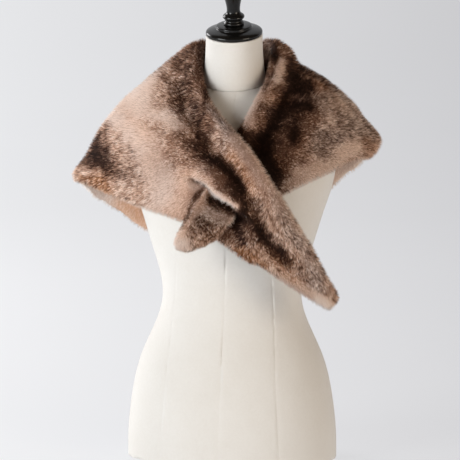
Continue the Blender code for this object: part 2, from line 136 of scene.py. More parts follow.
def only(obj):
    """Leaves obj as the one selected and active object."""
    bpy.ops.object.select_all(action="DESELECT")
    obj.select_set(True)
    bpy.context.view_layer.objects.active = obj


def mode(name):
    bpy.ops.object.mode_set(mode=name)


def pick(obj, what, test):
    """In edit mode: selects the vertices, edges or faces for which test is true."""
    bpy.ops.mesh.select_mode(type={"vertices": "VERT", "edges": "EDGE", "polygons": "FACE"}[what])
    bpy.ops.mesh.select_all(action="DESELECT")
    mode("OBJECT")
    for item in getattr(obj.data, what):
        item.select = test(item)
    mode("EDIT")


def settled(obj):
    """Puts an object's place into its mesh, so that the object itself is at the origin."""
    only(obj)
    bpy.ops.object.transform_apply(location=True, rotation=True, scale=True)
    return obj


bpy.ops.mesh.primitive_plane_add(size=2 * SWEEP_HALF, location=(0, SWEEP_BACK - SWEEP_HALF, -SWEEP_GAP))
sweep = settled(bpy.context.object)
sweep.name = "studio_sweep"
mode("EDIT")


def at_back(edge):
    ends = [sweep.data.vertices[v].co for v in edge.vertices]
    return all(abs(p.y - SWEEP_BACK) < NEAR and p.z < NEAR for p in ends)


pick(sweep, "edges", at_back)
bpy.ops.mesh.extrude_region_move(TRANSFORM_OT_translate={"value": (0, 0, SWEEP_TOP)})
pick(sweep, "edges", at_back)
bpy.ops.mesh.bevel(offset=SWEEP_BEND, segments=14, affect="EDGES")
bpy.ops.mesh.select_all(action="SELECT")
bpy.ops.mesh.normals_make_consistent(inside=True)
mode("OBJECT")
bpy.ops.object.shade_smooth()
print("sweep faces:", len(sweep.data.polygons))

# %% [markdown]
# ## How the materials are made
# Every finish here is a small net of nodes in front of the Principled shader. The helper `add` places a
# node, sets its sockets by name and joins the ones that come from another node, which keeps each material
# to a few readable lines. Values that are the same everywhere are set on the shader itself.

# %% Node helpers
def new_material(name):
    material = bpy.data.materials.new(name)
    material.use_nodes = True
    return material, material.node_tree.nodes["Principled BSDF"]


def add(material, kind, settings=None, **sockets):
    """A new node. settings are its own properties; sockets are values, or outputs to join, by input name."""
    node = material.node_tree.nodes.new("ShaderNode" + kind)
    for key, value in (settings or {}).items():
        setattr(node, key, value)
    for key, value in sockets.items():
        number = key.startswith("in") and key[2:].isdigit()
        socket = node.inputs[int(key[2:]) if number else key.replace("_", " ")]
        if isinstance(value, bpy.types.NodeSocket):
            material.node_tree.links.new(value, socket)
        else:
            socket.default_value = value
    return node


def join(material, output, shader, socket):
    material.node_tree.links.new(output, shader.inputs[socket])


def constants(shader, **sockets):
    """Sets what is the same all over a piece, by input name, on the shader itself."""
    for key, value in sockets.items():
        shader.inputs[key.replace("_", " ")].default_value = value


def dressed(piece, material):
    """Gives a piece its one material."""
    piece.data.materials.clear()
    piece.data.materials.append(material)


def ramp(material, factor, stops):
    """A Color Ramp node through (place, colour) stops."""
    node = add(material, "ValToRGB", Fac=factor)
    while len(node.color_ramp.elements) < len(stops):
        node.color_ramp.elements.new(1.0)
    for element, (place, colour) in zip(node.color_ramp.elements, stops):
        element.position = place
        element.color = (*colour, 1.0)
    return node.outputs["Color"]


def maths(material, how, first, second=0.0, clamp=False):
    return add(material, "Math", {"operation": how, "use_clamp": clamp}, in0=first, in1=second).outputs[0]


def noise(material, place, scale, detail, **others):
    return add(material, "TexNoise", Vector=place, Scale=scale, Detail=detail, **others).outputs["Fac"]


def about_zero(material, value, strength):
    """Turns a value of 0 to 1 into a faint one that swings about zero."""
    return maths(material, "MULTIPLY", maths(material, "SUBTRACT", value, 0.5), strength)


# %% [markdown]
# ## A sweep that glows
# Garments are often shown on a sweep of milky plastic that is lit from behind and beneath. It throws soft
# light up at the garment, swallows its shadow, and stays even. The glow is the shader's own emission. Its
# fade from pale on the left, where the key stands, to grey on the right is painted light: it stands in for
# the key's light falling off across the sheet.

# %% Plastic of the sweep
# the two ends of the glow's painted falloff of the key's light
GLOW_PAINTED_LIT = (0.96, 0.973, 1.0)
GLOW_PAINTED_SHADE = (0.46, 0.458, 0.482)
GLOW_STRENGTH = 0.80
PLASTIC_GREY = (0.16, 0.16, 0.16, 1.0)
FAN_SLANT = 0.123                  # the glow fades across the sheet, in a fan that opens backwards
FAN_POINT = 10.0                   # metres in front of the form, where the fan starts
FAN_HALF = 0.055                   # half the fan's width, for each metre from its point
FAN_LEFT, FAN_RIGHT = 0.92, 0.456  # how pale the sheet is at the fan's two edges
CLOUDING = 0.06

plastic, shader = new_material("sweep_plastic")
place = add(plastic, "TexCoord").outputs["Object"]
apart = add(plastic, "SeparateXYZ", Vector=place).outputs
# The fan is painted light: the glow is paler on the key's side and greyer away from it.
side = maths(plastic, "ADD", apart["X"], maths(plastic, "MULTIPLY", apart["Y"], FAN_SLANT))
reach = maths(plastic, "MAXIMUM", maths(plastic, "ADD", apart["Y"], FAN_POINT), FAN_POINT / 2)
across = add(plastic, "MapRange", Value=maths(plastic, "DIVIDE", side, reach), From_Min=-FAN_HALF,
             From_Max=FAN_HALF, To_Min=FAN_LEFT, To_Max=FAN_RIGHT).outputs["Result"]
cloud = noise(plastic, place, scale=0.6, detail=2.0)
pale = maths(plastic, "ADD", across, about_zero(plastic, cloud, CLOUDING), clamp=True)
join(plastic, ramp(plastic, pale, ((0.0, GLOW_PAINTED_SHADE), (1.0, GLOW_PAINTED_LIT))), shader, "Emission Color")
constants(shader, Emission_Strength=GLOW_STRENGTH, Base_Color=PLASTIC_GREY, Roughness=0.9,
          Specular_IOR_Level=0.1)
dressed(sweep, plastic)
print("sweep glow:", GLOW_STRENGTH)

# %% [markdown]
# ## The dress form's linen cover
# A form like this is a padded shell under a tight linen cover, cut as long panels from shoulder to hip.
# The panels meet in fine seams that sink a little into the padding. The solid already has the right body,
# but in flat facets, so the cover is a copy of it: welded, smoothed by subdivision, and then cut along the
# seams with bisect. Each cut is bevelled into three lines of points, and the middle line is sunk.

# %% Cover of the torso
WELD = 0.00002
SEAM_HALF = 0.0010                 # half the width of a sunk seam
SEAM_DEPTH = 0.00035
ON_SEAM = SEAM_HALF * 0.3          # points this near the cut are its middle line
SIDE_ON = 0.02                     # a face turned less than this to front or back is on the side
FLAT_ON = 0.93                     # and one turned more than this up or down is an end of the form
SHARP = math.radians(50)           # faces that meet at more than this make a crisp edge
CRISP = 0.9
Seam = namedtuple("Seam", "name at_foot lean side")   # x at the foot, x gained per metre up, -1 front +1 back
SEAMS = (
    Seam("centre_front", -0.0105, 0.032, -1),
    Seam("centre_back", 0.0, 0.0, 1),
    Seam("right_princess", -0.1130, 0.085, -1),
    Seam("left_princess", 0.0920, -0.055, -1),
    Seam("right_back", -0.0980, 0.050, 1),
    Seam("left_back", 0.0980, -0.050, 1),
)


def merged_copy(node, name):
    """A copy of a solid, with its loose triangles welded and joined into four-sided faces."""
    piece = bpy.data.objects.new(name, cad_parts[node].data.copy())
    bpy.context.scene.collection.objects.link(piece)
    piece.data.materials.clear()
    only(piece)
    bpy.ops.mesh.customdata_custom_splitnormals_clear()
    mode("EDIT")
    bpy.ops.mesh.select_all(action="SELECT")
    bpy.ops.mesh.remove_doubles(threshold=WELD)
    bpy.ops.mesh.tris_convert_to_quads(face_threshold=math.radians(35), shape_threshold=math.radians(60))
    mode("OBJECT")
    bpy.ops.object.shade_smooth()
    return piece


def crease(obj, test, amount):
    """Keeps the edges for which test is true crisp when the piece is subdivided."""
    mode("EDIT")
    pick(obj, "edges", test)
    bpy.ops.transform.edge_crease(value=amount)
    mode("OBJECT")


def subdivided(obj, levels):
    only(obj)
    smooth = obj.modifiers.new("smooth", "SUBSURF")
    smooth.levels = smooth.render_levels = levels
    bpy.ops.object.modifier_apply(modifier=smooth.name)
    return obj


def folded(obj, limit):
    """The edges where a piece's faces meet at more than limit, as a set of vertex pairs."""
    faces = {}
    for face in obj.data.polygons:
        for key in face.edge_keys:
            faces.setdefault(key, []).append(face.normal)
    return {key for key, n in faces.items() if len(n) == 2 and n[0].angle(n[1]) > limit}


def on_panel(normal, side):
    """True on the form's front or back, away from its sides and ends."""
    return normal.y * side > SIDE_ON and abs(normal.z) < FLAT_ON


cover = merged_copy("form_torso", "linen_cover")
sharp = folded(cover, SHARP)
crease(cover, lambda e: e.key in sharp, CRISP)
subdivided(cover, 2)

mode("EDIT")
for seam in SEAMS:
    foot = Vector((seam.at_foot, 0, 0))
    across = Vector((1, 0, -seam.lean)).normalized()
    pick(cover, "polygons", lambda f: on_panel(f.normal, seam.side))
    bpy.ops.mesh.bisect(plane_co=foot, plane_no=across, threshold=0.0002)
    bpy.ops.mesh.select_mode(type="EDGE")
    bpy.ops.mesh.bevel(offset=SEAM_HALF, segments=2, affect="EDGES", clamp_overlap=True)
    pick(cover, "vertices", lambda v: abs((v.co - foot).dot(across)) < ON_SEAM
         and on_panel(v.normal, seam.side))
    bpy.ops.transform.shrink_fatten(value=-SEAM_DEPTH)
mode("OBJECT")
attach(cover, "root")
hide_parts("form_torso")
print("linen cover:", len(cover.data.polygons), "faces,", len(SEAMS), "seams")

# %% [markdown]
# ## The neck
# The neck has its own cover, so a seam runs round its foot. It is copied and smoothed the same way, and
# the sharp rings at its foot and top stay crisp because their edges are creased first.

# %% Cover of the neck
NECK_CRISP = 0.85
neck = merged_copy("form_neck", "linen_neck")
sharp = folded(neck, SHARP)
crease(neck, lambda e: e.key in sharp, NECK_CRISP)
subdivided(neck, 2)
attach(neck, "root")
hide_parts("form_neck")
print("linen neck:", len(neck.data.polygons), "faces")

# %% [markdown]
# ## Linen
# Linen is a plain weave of slightly uneven threads, cream after washing. Two wave textures, one for the
# warp and one for the weft, give a fine raised weave. A noise as fine as the threads makes some of them
# thicker, a slow one varies the tone, and a faint one stands for the padding under the cloth. The sunk seams
# need nothing: the cloth turns away from the light there, which draws a thin darker line.

# %% Linen finish
LINEN_CREAM = (0.68, 0.66, 0.625)
LINEN_SHADE = (0.645, 0.62, 0.58)
THREAD = 0.0008                    # metres from thread to thread
WAVE_TURN = 20                     # radians that a wave texture turns in a metre at scale 1
TONE_SHARES = (0.7, 0.3)           # of the slow and of the thread-sized noise


def linen(name):
    cloth, shader = new_material(name)
    place = add(cloth, "TexCoord").outputs["Object"]
    uneven = noise(cloth, place, scale=260.0, detail=3.0)
    warp, weft = (add(cloth, "TexWave", {"bands_direction": axis}, Vector=place, Distortion=1.2, Detail=1.0,
                      Scale=2 * math.pi / THREAD / WAVE_TURN).outputs["Fac"] for axis in "ZX")
    weave = maths(cloth, "MULTIPLY", warp, weft)
    tone = noise(cloth, place, scale=9.0, detail=5.0, Roughness=0.6)
    both = maths(cloth, "ADD", maths(cloth, "MULTIPLY", tone, TONE_SHARES[0]),
                 maths(cloth, "MULTIPLY", uneven, TONE_SHARES[1]))
    join(cloth, ramp(cloth, both, ((0.35, LINEN_SHADE), (0.6, LINEN_CREAM))), shader, "Base Color")
    padding = noise(cloth, place, scale=14.0, detail=2.0)
    soft = add(cloth, "Bump", Strength=0.25, Distance=0.004, Height=padding).outputs["Normal"]
    woven = add(cloth, "Bump", Strength=0.35, Distance=0.0004,
                Height=maths(cloth, "ADD", weave, uneven), Normal=soft).outputs["Normal"]
    join(cloth, woven, shader, "Normal")
    constants(shader, Roughness=0.88, Sheen_Weight=0.15)
    return cloth


cloth = linen("linen")
for piece in (cover, neck):
    dressed(piece, cloth)
print("linen on", cover.name, "and", neck.name)

# %% [markdown]
# ## The turned cap and knob
# Both are turned on a lathe from beech and lacquered black. A lathe shape can be spun from a profile; here
# a disc is extruded up and scaled from ring to ring, because each step of the loop then reads like a cut
# of the turner's tool. Subdivision rounds the steps into beads and hollows.

# %% Turned wood
NECK_TOP = Vector((0.003, 0.006, 0.7125))
NECK_LEAN = math.radians(15)
TURNED_SIDES = 24
Turn = namedtuple("Turn", "height radius")


def rings(*rows):
    """The rings of a turner's profile, from rows of height and radius in millimetres."""
    return [Turn(height / 1000, radius / 1000) for height, radius in rows]


CAP = rings(
    (1.0, 46.4), (1.4, 47.0), (3.0, 48.1), (6.2, 48.1), (8.4, 46.6), (10.6, 40.0), (12.0, 32.2),
    (12.8, 30.6), (13.6, 30.2), (16.0, 30.2), (16.8, 29.8), (17.4, 28.5), (18.4, 21.5), (18.6, 8.0),
)
KNOB = rings(
    (0.0, 16.8), (0.4, 17.2), (3.0, 17.6), (4.8, 15.8), (5.6, 14.7), (8.0, 14.6), (9.2, 16.0),
    (10.4, 17.8), (13.0, 18.8), (16.0, 17.2), (18.0, 13.4), (20.0, 11.8), (24.0, 11.0), (32.0, 11.7),
    (42.0, 14.0), (52.0, 17.2), (61.0, 19.0), (69.0, 17.8), (74.5, 13.8), (76.8, 8.4), (77.4, 3.0),
)
CAP_FOOT = -0.0007                 # metres along the neck's axis from its top
KNOB_FOOT = 0.0187


def turned(name, rows, foot):
    """A turned piece: a disc drawn up ring by ring, then stood on the neck's leaning axis."""
    bpy.ops.mesh.primitive_circle_add(vertices=TURNED_SIDES, radius=rows[0].radius, fill_type="NGON",
                                      location=(0, 0, 0))
    piece = bpy.context.object
    piece.name = name
    mode("EDIT")
    bpy.ops.mesh.select_all(action="SELECT")
    bpy.ops.transform.translate(value=(0, 0, rows[0].height))
    for below, above in zip(rows, rows[1:]):
        rise = above.height - below.height
        bpy.ops.mesh.extrude_region_move(TRANSFORM_OT_translate={"value": (0, 0, rise)})
        size = above.radius / below.radius
        bpy.ops.transform.resize(value=(size, size, 1), center_override=(0, 0, above.height))
    bpy.ops.mesh.select_all(action="SELECT")
    bpy.ops.mesh.normals_make_consistent(inside=False)
    mode("OBJECT")
    subdivided(piece, 2)
    bpy.ops.object.shade_smooth()
    piece.matrix_world = (Matrix.Translation(NECK_TOP) @ Matrix.Rotation(NECK_LEAN, 4, "X")
                          @ Matrix.Translation((0, 0, foot)))
    return settled(piece)


cap = turned("turned_cap", CAP, CAP_FOOT)
knob = turned("turned_knob", KNOB, KNOB_FOOT)
for piece, node in ((cap, "neck_cap"), (knob, "neck_finial")):
    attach(piece, "root")
    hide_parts(node)
    print(piece.name, len(piece.data.polygons), "faces")

# %% [markdown]
# ## Black lacquer over wood
# Lacquer is a clear hard coat over a dark stained grain. The coat gives the bright soft highlights, and the
# grain under it, a noise drawn out along the axis, breaks them up just enough to look like wood.

# %% Lacquered wood
LACQUER_BLACK = (0.004, 0.004, 0.004)
LACQUER_BROWN = (0.009, 0.008, 0.007)

wood, shader = new_material("black_lacquer")
place = add(wood, "TexCoord").outputs["Object"]
drawn = add(wood, "Mapping", Vector=place, Scale=(420.0, 420.0, 28.0)).outputs["Vector"]
grain = noise(wood, drawn, scale=1.0, detail=5.0)
join(wood, ramp(wood, grain, ((0.4, LACQUER_BLACK), (0.75, LACQUER_BROWN))), shader, "Base Color")
dust = noise(wood, place, scale=160.0, detail=4.0)
rough = add(wood, "MapRange", Value=dust, To_Min=0.16, To_Max=0.24).outputs["Result"]
join(wood, rough, shader, "Roughness")
bumped = add(wood, "Bump", Strength=0.12, Distance=0.0003, Height=grain).outputs["Normal"]
join(wood, bumped, shader, "Normal")
constants(shader, Specular_IOR_Level=0.2, Coat_Weight=0.15, Coat_Roughness=0.06)
for piece in (cap, knob):
    dressed(piece, wood)
print("lacquer on", cap.name, "and", knob.name)

# %% [markdown]
# ## The fur: a skin and its pile
# Real fur is a thin skin with many short hairs leaning one way. Blender's own hair curves are no use for a
# part that other programs read, so each hair is a slim mesh spike with three sides: a root ring and a
# pointed tip. Nearly a quarter of a million spikes can't be placed by hand. They are laid by arrays: a place
# on the skin, a direction to lean in, and a tuft to belong to.
#
# First the skin. Each fur solid reaches as far as the hair tips do, so its copy is shrunk by the height of
# the pile, and by less where the fur is thin.

# %% Search trees and arrays
FUR_NODES = ("fur_back", "fur_right_front", "fur_right_end", "fur_left_front", "fur_left_end")
NOTHING = 1e-12


def world_tree(nodes):
    """One search tree over several solids."""
    points, faces = [], []
    for node in nodes:
        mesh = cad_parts[node].data
        faces += [tuple(v + len(points) for v in face.vertices) for face in mesh.polygons]
        points += [v.co.copy() for v in mesh.vertices]
    return BVHTree.FromPolygons(points, faces)


def arrays(obj):
    """Points, triangles, each triangle's normal and area, as arrays."""
    mesh = obj.data
    points = np.empty(len(mesh.vertices) * 3)
    mesh.vertices.foreach_get("co", points)
    points = points.reshape(-1, 3)
    mesh.calc_loop_triangles()
    corners = np.empty(len(mesh.loop_triangles) * 3, np.int32)
    mesh.loop_triangles.foreach_get("vertices", corners)
    corners = corners.reshape(-1, 3)
    a, b, c = (points[corners[:, k]] for k in range(3))
    normals = np.cross(b - a, c - a)
    areas = np.linalg.norm(normals, axis=1) / 2
    return points, corners, normals / np.maximum(2 * areas, NOTHING)[:, None], areas


def unit(vectors):
    return vectors / np.maximum(np.linalg.norm(vectors, axis=1), NOTHING)[:, None]


everything = world_tree(sorted(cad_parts))
print("solids that can cover a hair:", len(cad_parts))

# %% [markdown]
# The solids are plainer than a pelt, whose rim is plump in one place and limp in another. So the skin is
# nudged here and there: along a short path it is moved outwards, or a little aside, and this fades out with
# the distance from the path.

# %% Nudges
Nudge = namedtuple("Nudge", "path reach plump shift")   # plump: moved outwards; shift: moved as it says
NUDGE_ROWS = (                     # all in millimetres
    # the collar's and the shoulders' outlines, where the pile stands fullest
    (((-83, 39, 684), (-102, 51, 669)), 22, 1.5, (-5, 0, 2)),
    (((-111, 39, 663), (-174, 39, 609), (-237, 36, 530), (-263, 30, 486)), 30, 3, (0, 0, 0)),
    (((-192, 39, 592), (-222, 37, 552)), 32, 5, (0, 0, 0)),
    (((-267, 27, 470), (-267, 27, 466)), 20, 2, (-6, 0, 0)),
    (((-112, 42, 664), (-106, 46, 667)), 12, -3, (0, 0, -2)),
    (((55, 72, 700), (74, 57, 699)), 15, 1, (0, 0, 1)),
    (((100, 44, 674), (96, 48, 682)), 16, 1, (4, 0, 3)),
    (((170, 49, 622), (205, 47, 592)), 22, 1.5, (0, 0, 0)),
    (((217, 45, 577), (228, 24, 563)), 14, -4, (0, 0, 0)),
    (((246, 28, 536), (230, -13, 515)), 18, 2, (2, 0, -6)),
    # the hem at the back
    (((212, 108, 494), (196, 114, 480)), 18, 0, (4, 0, -4)),
    (((176, 120, 462), (160, 124, 448)), 18, 0, (8, 0, 7)),
    (((-255, 92, 432), (-240, 108, 421)), 18, 0, (0, 0, 8)),
    (((-225, 120, 408), (-208, 127, 394)), 22, 0, (0, 0, 18)),
    (((-185, 131, 382), (-160, 135, 372)), 18, 0, (6, 0, -3)),
    # the slit: its upper lip rolls down over the end that comes through, and it closes beyond that
    (((-58, -136, 476), (-36, -135, 468)), 9, 4, (0, -8, 8)),
    (((-14, -164, 469), (4, -174, 461)), 11, 3, (0, 0, -8)),
    (((22, -176, 451), (36, -170, 440)), 10, 3, (0, 0, -3)),
    (((44, -168, 428), (50, -161, 418)), 12, 4, (0, 0, 0)),
    (((26, -152, 446), (30, -150, 428)), 13, 2, (8, 0, 2)),
    # the hems below the crossing
    (((-22, -182, 388), (-4, -179, 398)), 14, 1, (0, 0, -6)),
    (((4, -156, 388), (22, -151, 373), (44, -154, 358)), 15, 0, (-3, 0, -9)),
    (((-72, -173, 395), (-72, -173, 383)), 14, 0, (-3, 0, 0)),
    # the collar's inner side, which leans on the neck
    (((41, 82, 682), (43, 93, 654)), 20, 5, (0, 0, 0)),
    (((-52, 60, 682), (-56, 89, 647)), 15, 3, (0, 0, 0)),
)
NUDGES = [Nudge(np.array(path) / 1000, reach / 1000, plump / 1000, np.array(shift) / 1000)
          for path, reach, plump, shift in NUDGE_ROWS]
print(len(NUDGES), "nudges")

# %% [markdown]
# Fur is short and pressed flat where another part lies on it. Eight looks from each place, in two rings
# round the way out, tell how much of the room before it is open.

# %% Open and covered fur
OPEN_START, OPEN_REACH = 0.003, 0.12   # metres from the fur where a hair's look round starts and ends
RINGS = ((0.35, 3), (0.8, 5))      # of looks: how far each ring leans out, and how many are on it
LOOKS = [Vector((math.cos(t) * s, math.sin(t) * s, math.sqrt(1 - s * s)))
         for s, n in RINGS for t in np.linspace(0, 2 * math.pi, n, endpoint=False)]


def openness(places, normals):
    """From 0 to 1: how much of the room in front of each place is open."""
    seen = np.zeros(len(places))
    for k, (p, n) in enumerate(zip(places, normals)):
        turn = Vector((0, 0, 1)).rotation_difference(Vector(n)).to_matrix()
        start = Vector(p) + Vector(n) * OPEN_START
        free = sum(everything.ray_cast(start, turn @ look, OPEN_REACH)[0] is None for look in LOOKS)
        seen[k] = free / len(LOOKS)
    return seen


print(len(LOOKS), "looks from each place")

# %% [markdown]
# With these a skin can be made: a smoothed copy of the solid, nudged, and then sunk by the height that the
# pile has at each point. The named tuple keeps what the hairs need to know about it.

# %% Skins
PILE_HEIGHT = 0.0052               # metres from the skin to the tips
PILE_SHARE = 0.34                  # and never more than this share of the fur's thickness
THICKEST = 0.06                    # metres of fur that are looked through for its other face
START = 0.0003                     # metres under the fur's face, where that look starts
OPEN_PILE = 3                      # the pile has its full height where a third of the room is open
LEAST_PILE = 0.15                  # share of its height that it keeps where nothing is open
SEAM_REACH = 0.0008                # faces this close to the next piece are seam faces
SEAM_WAY = 1e-9                    # how little a seam face counts in the way out of a point
MOST_LAG = 0.003                   # metres that a smoothed hem is put back, at most
Skin = namedtuple("Skin", "obj points corners areas depth ways open seam")


def distance_to(path, points):
    """How far each point is from a line through several places."""
    path, far = np.array(path), np.full(len(points), np.inf)
    for start, end in zip(path, path[1:]):
        run = end - start
        along = np.clip((points - start) @ run / max(run @ run, NOTHING), 0, 1)
        far = np.minimum(far, np.linalg.norm(points - start - along[:, None] * run, axis=1))
    return far


def gathered(count, corners, values):
    """For each of count points, the sum of the values of the triangles round it."""
    total = np.zeros((count, *values.shape[1:]))
    for k in range(3):
        np.add.at(total, corners[:, k], values)
    return total


def make_skin(node):
    """The shrunk copy of a fur solid, with all that the hairs on it need to know."""
    skin = merged_copy(node, node.replace("fur_", "") + "_skin")
    others = world_tree([n for n in FUR_NODES if n != node])
    sewn = [others.find_nearest(face.center, SEAM_REACH)[0] is not None for face in skin.data.polygons]
    sides = {}
    for face in skin.data.polygons:
        for key in face.edge_keys:
            sides.setdefault(key, set()).add(sewn[face.index])
    crease(skin, lambda e: len(sides[e.key]) == 2, 1.0)
    subdivided(skin, 1)
    tips, corners, faces_out, areas = arrays(skin)
    middles = tips[corners].mean(1)
    seam = np.array([others.find_nearest(Vector(m), SEAM_REACH)[0] is not None for m in middles])
    ways = gathered(len(tips), corners[~seam], (faces_out * areas[:, None])[~seam])
    lost = np.linalg.norm(ways, axis=1) < NOTHING
    ways = unit(ways + gathered(len(tips), corners[seam], faces_out[seam] * SEAM_WAY))
    solid = world_tree([node])
    for k, (p, w) in enumerate(zip(tips, ways)):   # smoothing draws the hems in: put them back
        lag = (np.array(solid.find_nearest(Vector(p))[0]) - p) @ w
        tips[k] += w * min(max(lag, 0.0), MOST_LAG)
    for nudge in NUDGES:
        share = np.exp(-(distance_to(nudge.path, tips) / nudge.reach) ** 2)[:, None]
        share[lost] = 0.0
        tips += share * (nudge.plump * ways + nudge.shift)
    own = BVHTree.FromPolygons(tips.tolist(), corners.tolist())
    depth = np.full(len(tips), PILE_HEIGHT)
    for k, (p, w) in enumerate(zip(tips, ways)):
        hit = own.ray_cast(Vector(p) - Vector(w) * START, -Vector(w), THICKEST)
        if hit[0] is not None:
            depth[k] = min(PILE_HEIGHT, PILE_SHARE * hit[3])
    depth[lost] = 0.0
    opened = openness(middles, faces_out)
    shared = gathered(len(tips), corners, opened) / gathered(len(tips), corners, np.ones(len(corners)))
    depth *= np.clip(shared * OPEN_PILE, LEAST_PILE, 1.0)
    points = tips - ways * depth[:, None]
    skin.data.vertices.foreach_set("co", points.ravel())
    skin.data.update()
    points, corners, _, areas = arrays(skin)
    return Skin(skin, points, corners, areas, depth, ways, opened, seam)


skins = {node: make_skin(node) for node in FUR_NODES}
for node, skin in skins.items():
    print(skin.obj.name, len(skin.corners), "triangles,", round(skin.areas.sum() / 2, 4), "m2 one side")

# %% [markdown]
# ## Where the fur is dark and pale
# The fur is dyed like a wild pelt: smoky cream fields between dark brown marks that run across them. The
# darkest lines lie in the folds, and there they are dye and painted shade together. A dyer paints such a pelt
# with a brush and a few pots of dye, and the same is done here. Each mark is one short stroke in one of the
# dyes, as wide as its reach. A hair takes the weighted mean of the marks near it. Some strokes are painted
# light and not dye: painted shadows under the slit's lip and beside the end that comes through it, painted
# highlights on rolled edges, and paler strokes where the fur lies in shade.
#
# The strokes on the front are set out in the camera's frame, in dots across and down. Each one is thrown onto
# the fur once, here, and belongs to the fur from then on. The back's strokes are set out on the fur itself,
# in millimetres across and up.

# %% Dyes
DYES = {                           # tone: 0 black brown, 1 cream; and grey: the warmth taken out
    "soot": (0.04, 0), "seal": (0.14, 0), "bark": (0.24, 0), "nut": (0.36, 0), "chestnut": (0.42, 0),
    "tan": (0.48, 0), "fawn": (0.60, 0), "sand": (0.69, 0.1), "cream": (0.75, 0.45), "milk": (0.94, 0.3),
    "rust": (0.46, -0.4), "honey": (0.64, -0.3), "straw": (0.82, -0.3),
    "smoke": (0.42, 0.45), "ash": (0.56, 0.45), "dove": (0.66, 0.4), "mist": (0.70, 0.4),
}
print(len(DYES), "dyes")

# %% Strokes on the right front and its end
RIGHT_STROKES = (                  # dye, reach and places, in dots
    # collar above the shoulder
    ("bark", 3, (203, 42), (204, 58), (202, 74)),
    ("bark", 4, (187, 47), (173, 59)),
    ("tan", 4, (196, 50), (194, 63)),
    ("bark", 4.5, (178, 65), (188, 71)),
    ("fawn", 2.6, (169, 70), (178, 77)),
    ("nut", 3, (162, 75), (163, 82)),
    ("bark", 5, (184, 78), (184, 93)),
    ("nut", 4, (196, 70), (194, 80)),
    ("chestnut", 4, (173, 84), (170, 94)),
    ("bark", 4.5, (173, 98), (178, 108)),
    ("bark", 4.5, (187, 97), (193, 107)),
    ("tan", 4, (197, 83), (201, 98)),
    # cream field of the right front
    ("mist", 9, (154, 80), (140, 90)),
    ("cream", 6, (136, 92), (126, 100)),
    ("mist", 10, (128, 98), (112, 116)),
    ("mist", 20, (122, 114), (140, 142), (148, 170), (160, 200)),
    ("fawn", 6, (160, 82), (159, 104)),
    ("sand", 9, (124, 112), (150, 138)),
    ("fawn", 2.4, (140, 123), (158, 129)),
    ("cream", 7, (160, 113), (174, 125)),
    ("tan", 5.5, (182, 158), (204, 167)),
    ("sand", 5, (186, 173), (206, 181)),
    ("cream", 3, (192, 184), (198, 187)),
    ("sand", 9, (188, 196), (172, 218)),
    # dark marks that run into the crease
    ("nut", 4, (185, 112), (190, 122)),
    ("seal", 2.6, (198, 110), (197, 122), (199, 134)),
    ("fawn", 4, (187, 126), (191, 133)),
    ("fawn", 4, (158, 131), (168, 134)),
    ("tan", 4, (170, 136), (180, 139)),
    ("bark", 5, (182, 142), (194, 146), (204, 152)),
    ("bark", 4, (204, 132), (207, 148)),
    ("fawn", 5, (170, 148), (184, 156)),
    # the soot line along the fold is dye and painted shade together
    ("soot", 4.6, (204, 155), (216, 162), (227, 169), (235, 179), (242, 190), (244, 202), (244, 214)),
    ("tan", 4, (213, 171), (224, 181)),
    ("bark", 4, (228, 186), (236, 200)),
    # lips of the slit
    # painted highlight on the rolled upper lip
    ("milk", 3.2, (205, 189), (224, 199), (236, 206)),
    ("tan", 3, (216, 184), (226, 192)),
    ("nut", 4, (247, 224), (252, 238)),
    ("seal", 3.2, (237, 228), (240, 244)),
    ("tan", 4, (227, 237), (233, 243)),
    # painted shadow line beside the end that comes through the slit
    ("nut", 0.8, (200, 190), (191, 206), (183, 226)),
    # sleeve corner
    ("nut", 4, (104, 130), (100, 140)),
    ("soot", 5, (97, 139), (92, 150), (98, 161)),
    ("seal", 4, (102, 150), (106, 165), (112, 173)),
    ("fawn", 5, (113, 136), (114, 148)),
    ("nut", 5.5, (115, 156), (123, 174)),
    ("tan", 7, (121, 158), (130, 180)),
    ("bark", 3.4, (90, 150), (84, 160), (88, 165)),
    ("fawn", 5, (74, 175), (92, 172)),
    ("rust", 1.6, (80, 178), (97, 181)),
    ("rust", 4, (94, 184), (104, 188)),
    ("fawn", 7, (114, 184), (138, 194)),
    ("honey", 6, (100, 194), (128, 208), (144, 216)),
    # roll from the neck to the crossing
    # painted shade along the roll's inner edge by the neck
    ("bark", 2.6, (207, 90), (216, 104), (228, 120)),
    ("ash", 5, (204, 101), (214, 115), (226, 129)),
    ("fawn", 4.5, (206, 116), (210, 127)),
    ("fawn", 4, (213, 134), (213, 150)),
    ("tan", 4, (219, 142), (222, 152)),
    ("dove", 5.5, (231, 135), (247, 157), (261, 181), (274, 198)),
    ("honey", 6, (228, 156), (244, 176), (252, 192)),
    ("nut", 3.6, (258, 203), (256, 212), (265, 217)),
    ("fawn", 5, (263, 192), (267, 206)),
    # right end below the crossing
    ("dove", 5, (276, 202), (284, 218)),
    ("ash", 3.5, (287, 214), (294, 230)),
    ("ash", 6, (293, 234), (311, 264), (325, 288)),
    ("fawn", 5, (266, 216), (280, 240)),
    ("fawn", 4.5, (286, 244), (296, 256)),
    # the soot line on from the crossing's fold: dye and painted shade together
    ("soot", 5.4, (241, 216), (249, 222), (256, 230), (263, 238), (272, 246), (281, 253), (290, 261)),
    ("nut", 3.6, (294, 263), (305, 276)),
    ("tan", 5, (252, 246), (264, 254)),
    ("rust", 3.6, (240, 252), (256, 262), (266, 268)),
    ("fawn", 5, (264, 260), (276, 272)),
    ("honey", 5, (280, 268), (296, 280)),
    ("sand", 4, (284, 284), (310, 300)),
    ("milk", 4, (318, 303), (334, 310)),
    ("tan", 4, (328, 284), (337, 299)),
)
print(len(RIGHT_STROKES), "strokes")

